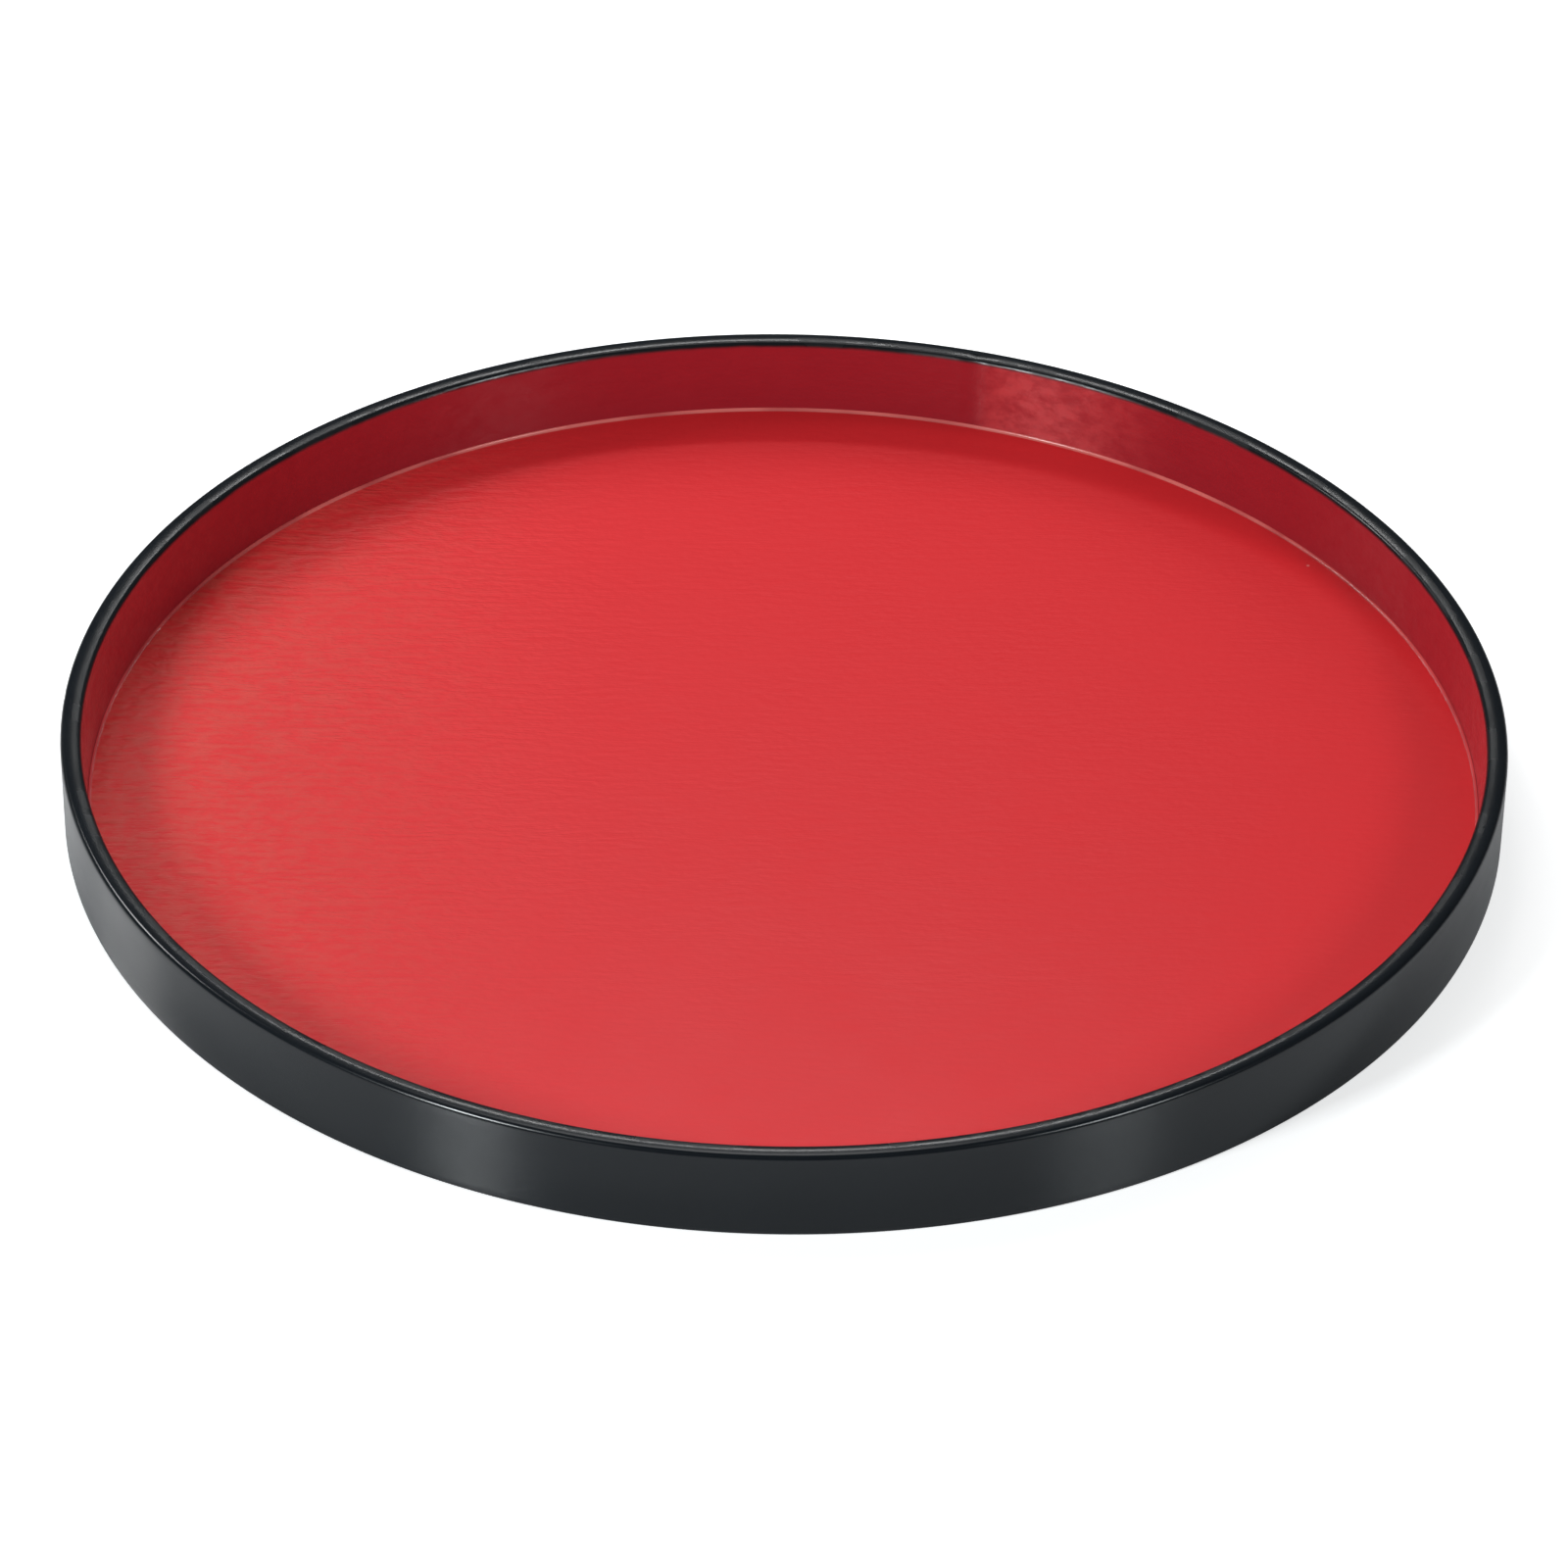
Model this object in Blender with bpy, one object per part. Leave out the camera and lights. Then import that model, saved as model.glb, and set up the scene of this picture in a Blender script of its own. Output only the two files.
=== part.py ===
"""A round lacquered serving tray, as the separate pieces it comes apart into on a bench.

A hoop of two bent wooden plies stands round a base board of three layers. The outer ply
goes down to the table and is the standing edge. The inner ply stands on the board's core,
and the floor veneer lies inside it. A bead of filler closes the corner between the inner
ply and the floor. Each ply is one strip whose tapered ends overlap in a scarf joint.

Metres, +Z up. The origin is the middle of the standing plane, and Z is the tray's axis.
"""

import math

import bmesh
import bpy

# Driving dimensions.
OUTER_DIAMETER = 0.363
HEIGHT = 0.0238
RIM_WIDTH = 0.0053
RIM_ROUNDING = 0.0013
FOOT_ROUNDING = 0.0005
OUTER_DRAFT = 0.0006  # the outside is this much smaller in radius at the foot than at the rim
INNER_DRAFT = 0.0013  # and the inside is this much smaller at the floor
FLOOR_HEIGHT = 0.0035  # top of the floor veneer above the table
BASE_RECESS = 0.0005  # the board's underside is this far above the table
VENEER_THICKNESS = 0.0004
CORNER_RADIUS = 0.0007  # hollow corner between the wall and the floor
GLUE_LINE = 0.0003  # gap between neighbouring pieces

SCARF_LENGTH = 0.022  # overlap of a ply's two tapered ends, along the hoop
OUTER_SCARF_ANGLE = math.radians(172.5)  # middle of the joint, round from +X
INNER_SCARF_ANGLE = math.radians(74.0)
SCARF_STEPS = 12
SCARF_OVERRUN = 0.25  # the saw cut runs past the ply by this share of its thickness

SEGMENTS = 120  # flats round each turned piece
ROUNDING_STEPS = 4
SMOOTH_ANGLE = math.radians(30.0)

# Sizes that follow from them.
OUTER_RADIUS = OUTER_DIAMETER / 2
INNER_RADIUS = OUTER_RADIUS - RIM_WIDTH
FOOT_RADIUS = OUTER_RADIUS - OUTER_DRAFT
WALL_FOOT_RADIUS = INNER_RADIUS - INNER_DRAFT
PLY_JOINT_RADIUS = OUTER_RADIUS - RIM_WIDTH / 2
OUTER_PLY_INSIDE = PLY_JOINT_RADIUS + GLUE_LINE / 2
INNER_PLY_OUTSIDE = PLY_JOINT_RADIUS - GLUE_LINE / 2
BOARD_RADIUS = OUTER_PLY_INSIDE - GLUE_LINE
CORNER_CENTRE_RADIUS = WALL_FOOT_RADIUS - CORNER_RADIUS
FLOOR_VENEER_RADIUS = CORNER_CENTRE_RADIUS - GLUE_LINE / 2

FLOOR_VENEER_BOTTOM = FLOOR_HEIGHT - VENEER_THICKNESS
CORE_TOP = FLOOR_VENEER_BOTTOM - GLUE_LINE
CORE_BOTTOM = BASE_RECESS + VENEER_THICKNESS + GLUE_LINE
CORE_THICKNESS = CORE_TOP - CORE_BOTTOM
INNER_PLY_BOTTOM = CORE_TOP + GLUE_LINE

# Finishes: colour, roughness, metallic.
BLACK_LACQUER = ("black_lacquer", (0.012, 0.014, 0.016), 0.35, 0.0)
RED_LACQUER = ("red_lacquer", (0.62, 0.030, 0.038), 0.42, 0.0)
FLOOR_LACQUER = ("floor_lacquer", (0.66, 0.038, 0.045), 0.48, 0.0)
CORE_WOOD = ("core_wood", (0.52, 0.36, 0.21), 0.75, 0.0)
UNDERSIDE_LACQUER = ("underside_lacquer", (0.015, 0.015, 0.016), 0.55, 0.0)
FILLER_LACQUER = ("filler_lacquer", (0.60, 0.032, 0.038), 0.40, 0.0)


def clear_scene():
    """Removes every object that the scene starts with."""
    for obj in list(bpy.data.objects):
        bpy.data.objects.remove(obj, do_unlink=True)


def finish_material(finish):
    """A Principled material for one of the finishes above."""
    name, colour, roughness, metallic = finish
    material = bpy.data.materials.new(name)
    material.use_nodes = True
    shader = material.node_tree.nodes["Principled BSDF"]
    shader.inputs["Base Color"].default_value = (*colour, 1.0)
    shader.inputs["Roughness"].default_value = roughness
    shader.inputs["Metallic"].default_value = metallic
    return material


def object_from(shape, name, height=0.0):
    """A smooth-shaded object at that height above the table, made from a bmesh."""
    mesh = bpy.data.meshes.new(name)
    shape.to_mesh(mesh)
    shape.free()
    mesh.shade_smooth()
    mesh.set_sharp_from_angle(angle=SMOOTH_ANGLE)
    obj = bpy.data.objects.new(name, mesh)
    obj.location.z = height
    bpy.context.scene.collection.objects.link(obj)
    return obj


def arc(centre, radii, start, end, steps=ROUNDING_STEPS):
    """Points of an elliptical arc in a profile, from one angle to another in degrees."""
    points = []
    for step in range(steps + 1):
        angle = math.radians(start + (end - start) * step / steps)
        radius = centre[0] + radii[0] * math.cos(angle)
        height = centre[1] + radii[1] * math.sin(angle)
        points.append((radius, height))
    return points


def turned_ring(name, profile):
    """A closed ring: a loop of (radius, height) points turned about Z."""
    shape = bmesh.new()
    corners = [shape.verts.new((radius, 0.0, height)) for radius, height in profile]
    edges = [shape.edges.new(ends) for ends in zip(corners, corners[1:] + corners[:1])]
    bmesh.ops.spin(
        shape,
        geom=corners + edges,
        cent=(0.0, 0.0, 0.0),
        axis=(0.0, 0.0, 1.0),
        angle=2 * math.pi,
        steps=SEGMENTS,
        use_merge=True,
    )
    bmesh.ops.recalc_face_normals(shape, faces=shape.faces)
    return object_from(shape, name)


def round_sheet(name, radius, thickness, height):
    """A flat disc of that thickness, with its underside at that height."""
    shape = bmesh.new()
    bmesh.ops.create_circle(shape, cap_ends=True, radius=radius, segments=SEGMENTS)
    extruded = bmesh.ops.extrude_face_region(shape, geom=shape.faces[:])
    raised = [item for item in extruded["geom"] if isinstance(item, bmesh.types.BMVert)]
    bmesh.ops.translate(shape, verts=raised, vec=(0.0, 0.0, thickness))
    bmesh.ops.recalc_face_normals(shape, faces=shape.faces)
    return object_from(shape, name, height)


def scarf_saw(name, inside, outside, middle_angle):
    """The saw cut between a ply's tapered ends: a thin upright blade that spirals outwards.

    Its radius grows evenly with the angle, from just inside the ply to just outside it.
    """
    thickness = outside - inside
    sweep = SCARF_LENGTH / inside
    sides = ([], [])
    for step in range(SCARF_STEPS + 1):
        share = (1 + 2 * SCARF_OVERRUN) * step / SCARF_STEPS - SCARF_OVERRUN
        angle = middle_angle + sweep * (share - 0.5)
        for side, offset in zip(sides, (-GLUE_LINE / 2, GLUE_LINE / 2)):
            radius = inside + share * thickness + offset
            side.append((radius * math.cos(angle), radius * math.sin(angle)))
    outline = sides[1] + sides[0][::-1]
    shape = bmesh.new()
    blade = shape.faces.new([shape.verts.new((x, y, -HEIGHT / 2)) for x, y in outline])
    extruded = bmesh.ops.extrude_face_region(shape, geom=[blade])
    raised = [item for item in extruded["geom"] if isinstance(item, bmesh.types.BMVert)]
    bmesh.ops.translate(shape, verts=raised, vec=(0.0, 0.0, 2 * HEIGHT))
    bmesh.ops.recalc_face_normals(shape, faces=shape.faces)
    saw = object_from(shape, name)
    saw.hide_render = True
    saw.display_type = "WIRE"
    return saw


def scarf(ply, saw):
    """Opens a hoop ply at its scarf joint."""
    cut = ply.modifiers.new("scarf", "BOOLEAN")
    cut.operation = "DIFFERENCE"
    cut.solver = "EXACT"
    cut.object = saw


def outer_hoop_ply():
    """The bent strip that makes the outside of the wall, half the rim and the standing edge."""
    foot_centre = (FOOT_RADIUS - FOOT_ROUNDING, FOOT_ROUNDING)
    rim_centre = (OUTER_RADIUS - RIM_ROUNDING, HEIGHT - RIM_ROUNDING)
    profile = [(OUTER_PLY_INSIDE, 0.0)]
    profile += arc(foot_centre, (FOOT_ROUNDING, FOOT_ROUNDING), -90.0, 0.0)
    profile += arc(rim_centre, (RIM_ROUNDING, RIM_ROUNDING), 0.0, 90.0)
    profile += [(OUTER_PLY_INSIDE, HEIGHT)]
    ply = turned_ring("outer_hoop_ply", profile)
    saw = scarf_saw("outer_scarf_saw", OUTER_PLY_INSIDE, OUTER_RADIUS, OUTER_SCARF_ANGLE)
    scarf(ply, saw)
    return ply


def inner_hoop_ply():
    """The bent strip that makes the inside of the wall and half the rim, on the board's core."""
    rim_centre = (INNER_RADIUS + RIM_ROUNDING, HEIGHT - RIM_ROUNDING)
    profile = [(WALL_FOOT_RADIUS, INNER_PLY_BOTTOM), (INNER_PLY_OUTSIDE, INNER_PLY_BOTTOM)]
    profile += [(INNER_PLY_OUTSIDE, HEIGHT)]
    profile += arc(rim_centre, (RIM_ROUNDING, RIM_ROUNDING), 90.0, 180.0)
    ply = turned_ring("inner_hoop_ply", profile)
    saw = scarf_saw("inner_scarf_saw", WALL_FOOT_RADIUS, INNER_PLY_OUTSIDE, INNER_SCARF_ANGLE)
    scarf(ply, saw)
    return ply


def corner_bead():
    """The filler bead round the floor: a hollow quarter round with blunt edges."""
    centre = (CORNER_CENTRE_RADIUS, FLOOR_HEIGHT + CORNER_RADIUS)
    back = WALL_FOOT_RADIUS - GLUE_LINE
    hollow = arc(centre, (back - centre[0], CORNER_RADIUS), -84.0, -20.0)
    profile = [(hollow[0][0], FLOOR_VENEER_BOTTOM)]
    profile += hollow
    profile += [(back, hollow[-1][1]), (back, FLOOR_VENEER_BOTTOM)]
    return turned_ring("corner_filler_bead", profile)


def base_board():
    """The board's three layers, from the underside to the floor."""
    backing = round_sheet("backing_veneer", BOARD_RADIUS, VENEER_THICKNESS, BASE_RECESS)
    core = round_sheet("base_core_board", BOARD_RADIUS, CORE_THICKNESS, CORE_BOTTOM)
    floor = round_sheet("floor_veneer", FLOOR_VENEER_RADIUS, VENEER_THICKNESS, FLOOR_VENEER_BOTTOM)
    return backing, core, floor


def build_tray():
    """Builds every piece, gives each its finish and hangs them all on one empty."""
    tray = bpy.data.objects.new("serving_tray", None)
    bpy.context.scene.collection.objects.link(tray)
    backing, core, floor = base_board()
    finishes = (
        (outer_hoop_ply(), BLACK_LACQUER),
        (inner_hoop_ply(), RED_LACQUER),
        (corner_bead(), FILLER_LACQUER),
        (floor, FLOOR_LACQUER),
        (core, CORE_WOOD),
        (backing, UNDERSIDE_LACQUER),
    )
    for piece, finish in finishes:
        piece.data.materials.append(finish_material(finish))
        piece.parent = tray


clear_scene()
build_tray()
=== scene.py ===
"""The looks of a round lacquered serving tray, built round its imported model.

Each sub-assembly is a class whose sizes are its fields. Its pieces are turned surfaces: a profile
is a row of (radius, height) points, and the surface is (r cos a, r sin a, z) for every angle a
round the tray's axis and every point (r, z) of the profile. Lacquers are node materials on the
pieces' own coordinates. Metres, +Z up, and the origin is the middle of the standing plane.
"""

from __future__ import annotations

import logging
import math
from abc import ABC, abstractmethod
from collections.abc import Callable, Mapping, Sequence
from dataclasses import dataclass, field
from enum import Enum
from typing import Any

import bpy
import numpy as np
from mathutils import Matrix, Vector

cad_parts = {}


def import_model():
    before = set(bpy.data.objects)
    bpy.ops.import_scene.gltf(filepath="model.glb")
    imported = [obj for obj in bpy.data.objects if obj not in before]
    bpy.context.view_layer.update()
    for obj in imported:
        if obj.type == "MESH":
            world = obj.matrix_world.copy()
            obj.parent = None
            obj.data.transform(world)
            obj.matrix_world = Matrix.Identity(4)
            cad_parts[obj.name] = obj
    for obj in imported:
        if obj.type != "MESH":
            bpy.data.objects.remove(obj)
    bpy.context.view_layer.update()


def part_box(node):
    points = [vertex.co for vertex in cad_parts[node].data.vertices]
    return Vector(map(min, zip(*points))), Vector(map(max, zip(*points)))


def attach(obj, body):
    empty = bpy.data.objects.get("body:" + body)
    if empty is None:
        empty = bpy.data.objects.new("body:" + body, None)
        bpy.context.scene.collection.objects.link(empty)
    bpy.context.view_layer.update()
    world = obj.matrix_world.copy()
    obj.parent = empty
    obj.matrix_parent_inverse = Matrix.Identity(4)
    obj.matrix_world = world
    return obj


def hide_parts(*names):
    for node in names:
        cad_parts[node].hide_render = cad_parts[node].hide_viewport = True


LOG = logging.getLogger("serving_tray")
SMOOTH_ANGLE = math.radians(28.0)
AROUND = "around"  # the UV map: metres along the hoop, and metres along the profile

Colour = tuple[float, float, float]
Place = tuple[float, float, float]
Scale = tuple[float, float, float]  # lumps to a metre, or a stretch, on each axis
Span = tuple[float, float]
Inputs = dict[str, Any]

WHITE: Colour = (1.0, 1.0, 1.0)
COOL_WHITE: Colour = (0.925, 0.98, 1.0)


class Way(Enum):
    """How a profile is closed when it is turned."""

    RING = "the last point joins the first"
    DISC = "both ends lie on the axis"


class Axis(Enum):
    """Parts of a coordinate."""

    X = "X"
    Y = "Y"
    Z = "Z"


# ---------------------------------------------------------------- shader maths


class Wire:
    """A value socket that can be used in arithmetic. Each operator adds one Math node."""

    def __init__(self, sheet: Sheet, socket: bpy.types.NodeSocket) -> None:
        """Keeps the socket and the node sheet that it is on."""
        self.sheet = sheet
        self.socket = socket

    def math(self, operation: str, *values: Wire | float) -> Wire:
        """The result of a Math node on those values."""
        inputs = dict(enumerate(values))
        return self.sheet.node("ShaderNodeMath", {"operation": operation}, inputs).out()

    def __add__(self, other: Wire | float) -> Wire:
        """self + other."""
        return self.math("ADD", self, other)

    def __radd__(self, other: float) -> Wire:
        """other + self."""
        return self.math("ADD", other, self)

    def __sub__(self, other: Wire | float) -> Wire:
        """self - other."""
        return self.math("SUBTRACT", self, other)

    def __rsub__(self, other: float) -> Wire:
        """other - self."""
        return self.math("SUBTRACT", other, self)

    def __mul__(self, other: Wire | float) -> Wire:
        """self * other."""
        return self.math("MULTIPLY", self, other)

    def __rmul__(self, other: float) -> Wire:
        """other * self."""
        return self.math("MULTIPLY", other, self)

    def __truediv__(self, other: Wire | float) -> Wire:
        """self / other."""
        return self.math("DIVIDE", self, other)

    def swing(self, reach: float) -> Wire:
        """(self - 0.5) * reach: a pattern from 0 to 1 as a change about nothing."""
        return (self - 0.5) * reach

    def contrast(self, gain: float) -> Wire:
        """(self - 0.5) * gain + 0.5."""
        return self.swing(gain) + 0.5

    def raised(self, least: float) -> Wire:
        """least + (1 - least) * self: a share that is never below the least."""
        return least + (1.0 - least) * self

    def smooth_step(self, low: float, high: float) -> Wire:
        """0 below low, 1 above high, and t * t * (3 - 2 * t) of the share t between them.

        Args:
            low: the value where the step begins.
            high: the value where it ends.

        Returns:
            The share.
        """
        settings = {"interpolation_type": "SMOOTHSTEP", "clamp": True}
        inputs = {0: self, 1: low, 2: high, 3: 0.0, 4: 1.0}
        return self.sheet.node("ShaderNodeMapRange", settings, inputs).out()


class NodeHandle:
    """A node that was added to a sheet."""

    def __init__(self, sheet: Sheet, node: bpy.types.Node) -> None:
        """Keeps the node and its sheet."""
        self.sheet = sheet
        self.node = node

    def out(self, name: str | int = 0) -> Wire:
        """One of the node's outputs."""
        return Wire(self.sheet, self.node.outputs[name])


class Sheet:
    """The node tree of one material or of the world."""

    def __init__(self, tree: bpy.types.NodeTree) -> None:
        """Starts from an empty tree."""
        self.tree = tree
        self.tree.nodes.clear()

    def node(
        self,
        kind: str,
        settings: Mapping[str, Any] | None = None,
        inputs: Mapping[str | int, Any] | None = None,
    ) -> NodeHandle:
        """Adds a node.

        Args:
            kind: the node's type.
            settings: its own properties, which are set first.
            inputs: values or wires for its sockets, by name or number.

        Returns:
            The new node.
        """
        made = self.tree.nodes.new(kind)
        for name, value in (settings or {}).items():
            setattr(made, name, value)
        for name, value in (inputs or {}).items():
            socket = made.inputs[name]
            if isinstance(value, Wire):
                self.tree.links.new(value.socket, socket)
            else:
                socket.default_value = value
        return NodeHandle(self, made)

    def place(self) -> Wire:
        """The object's own coordinates, in metres."""
        return self.node("ShaderNodeTexCoord").out("Object")

    def around(self) -> Wire:
        """The coordinates of the turned surface: metres along the hoop and along the profile."""
        return self.node("ShaderNodeUVMap", {"uv_map": AROUND}).out("UV")

    def part(self, vector: Wire, axis: Axis) -> Wire:
        """One part of a coordinate."""
        return self.node("ShaderNodeSeparateXYZ", None, {0: vector}).out(axis.value)

    def stretched(self, vector: Wire, scale: Sequence[float]) -> Wire:
        """A coordinate times a scale on each axis."""
        settings = {"operation": "MULTIPLY"}
        return self.node("ShaderNodeVectorMath", settings, {0: vector, 1: scale}).out()

    def shifted(self, vector: Wire, offset: Wire) -> Wire:
        """A coordinate plus another."""
        return self.node("ShaderNodeVectorMath", {"operation": "ADD"}, {0: vector, 1: offset}).out()

    def bent(self, vector: Wire, scale: float, reach: float) -> Wire:
        """A coordinate pushed along Y by reach * (n - 0.5), for a slow noise n of that scale."""
        push = self.noise(vector, scale).swing(reach)
        return self.shifted(vector, self.point(0.0, push, 0.0))

    def bearing(self, vector: Wire) -> Wire:
        """atan2(y, x): the turn of a coordinate about Z, from +X."""
        x, y = self.part(vector, Axis.X), self.part(vector, Axis.Y)
        return y.math("ARCTAN2", y, x)

    def distance(self, vector: Wire, point: Sequence[float]) -> Wire:
        """The distance of a coordinate from a point."""
        settings = {"operation": "DISTANCE"}
        return self.node("ShaderNodeVectorMath", settings, {0: vector, 1: point}).out("Value")

    def point(self, x: Wire | float, y: Wire | float, z: Wire | float) -> Wire:
        """A coordinate made of three values."""
        return self.node("ShaderNodeCombineXYZ", None, {0: x, 1: y, 2: z}).out()

    def noise(self, vector: Wire, scale: float, detail: float = 2.0, rough: float = 0.5) -> Wire:
        """Perlin noise from 0 to 1, with that many lumps to a metre of the coordinate."""
        inputs = {"Vector": vector, "Scale": scale, "Detail": detail, "Roughness": rough}
        return self.node("ShaderNodeTexNoise", None, inputs).out("Fac")

    def blend(self, share: Wire | float, first: Wire | Colour, second: Wire | Colour) -> Wire:
        """(1 - share) * first + share * second, for colours.

        Args:
            share: from 0 to 1, and clamped there.
            first: the colour at 0.
            second: the colour at 1.

        Returns:
            The colour between them.
        """
        settings = {"data_type": "RGBA", "clamp_factor": True}
        inputs = {0: share, 6: as_rgba(first), 7: as_rgba(second)}
        return self.node("ShaderNodeMix", settings, inputs).out(2)

    def shaded(self, share: Wire, colour: Colour, shades: Span) -> Wire:
        """A colour times the first shade where the share is 0, and times the second at 1."""
        return self.blend(share, scaled(colour, shades[0]), scaled(colour, shades[1]))

    def bump(self, height: Wire, depth: float, below: Wire | None = None) -> Wire:
        """A normal from a height pattern.

        Args:
            height: the pattern.
            depth: how far it stands up for each 1 of the pattern, in metres.
            below: another normal that this one is laid on.

        Returns:
            The normal.
        """
        inputs: dict[str | int, Any] = {"Height": height, "Distance": depth, "Strength": 1.0}
        if below is not None:
            inputs["Normal"] = below
        return self.node("ShaderNodeBump", None, inputs).out("Normal")

    def finish(self, kind: str, socket: Wire) -> None:
        """Adds the output node for a surface, and links it."""
        self.node(kind, None, {"Surface": socket})


def as_rgba(colour: Wire | Colour) -> Any:
    """A colour as a socket takes it: a wire as it is, and three numbers with a fourth for alpha."""
    return colour if isinstance(colour, Wire) else (*colour, 1.0)


def scaled(colour: Colour, factor: float) -> Colour:
    """A colour times a factor."""
    return (colour[0] * factor, colour[1] * factor, colour[2] * factor)


def principled(name: str, fill: Callable[[Sheet], Inputs]) -> bpy.types.Material:
    """A material with one Principled shader.

    Args:
        name: the material's name.
        fill: a function that takes the sheet and returns the shader's inputs by name.

    Returns:
        The material.
    """
    material = bpy.data.materials.new(name)
    material.use_nodes = True
    sheet = Sheet(material.node_tree)
    shader = sheet.node("ShaderNodeBsdfPrincipled", None, fill(sheet))
    sheet.finish("ShaderNodeOutputMaterial", shader.out("BSDF"))
    return material


# ---------------------------------------------------------------- finishes


class Finish(ABC):
    """A finish that can be made into a material."""

    name: str

    @abstractmethod
    def inputs(self, sheet: Sheet) -> Inputs:
        """The shader's inputs by name, made on that sheet."""

    def material(self) -> bpy.types.Material:
        """The finish as a material."""
        return principled(self.name, self.inputs)


@dataclass(frozen=True)
class BlackLacquer(Finish):
    """Satin black lacquer on a bent ply, whose grain still shows a little along the hoop."""

    name: str = "black_lacquer"
    colour: Colour = (0.0055, 0.0080, 0.0110)
    roughness: float = 0.22
    specular: float = 0.5
    cloud_scale: float = 38.0
    cloud_shades: Span = (0.8, 1.25)
    cloud_roughness: float = 0.10
    grain_scale: Scale = (26.0, 900.0, 1.0)
    grain_roughness: float = 0.08
    grain_depth: float = 0.000012
    peel_scale: float = 700.0
    peel_depth: float = 0.000004

    def inputs(self, sheet: Sheet) -> Inputs:
        """Clouds a few centimetres wide in colour and gloss, and fine grain along the hoop.

        Args:
            sheet: the material's nodes.

        Returns:
            The shader's inputs.
        """
        place = sheet.place()
        cloud = sheet.noise(place, self.cloud_scale, detail=3.0)
        along = sheet.stretched(sheet.around(), self.grain_scale)
        grain = sheet.noise(along, 1.0, detail=3.0, rough=0.6)
        peel = sheet.noise(place, self.peel_scale)
        patches = cloud.swing(self.cloud_roughness)
        return {
            "Base Color": sheet.shaded(cloud, self.colour, self.cloud_shades),
            "Roughness": self.roughness + patches + grain.swing(self.grain_roughness),
            "Normal": sheet.bump(grain, self.grain_depth, sheet.bump(peel, self.peel_depth)),
            "Specular IOR Level": self.specular,
        }


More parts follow.
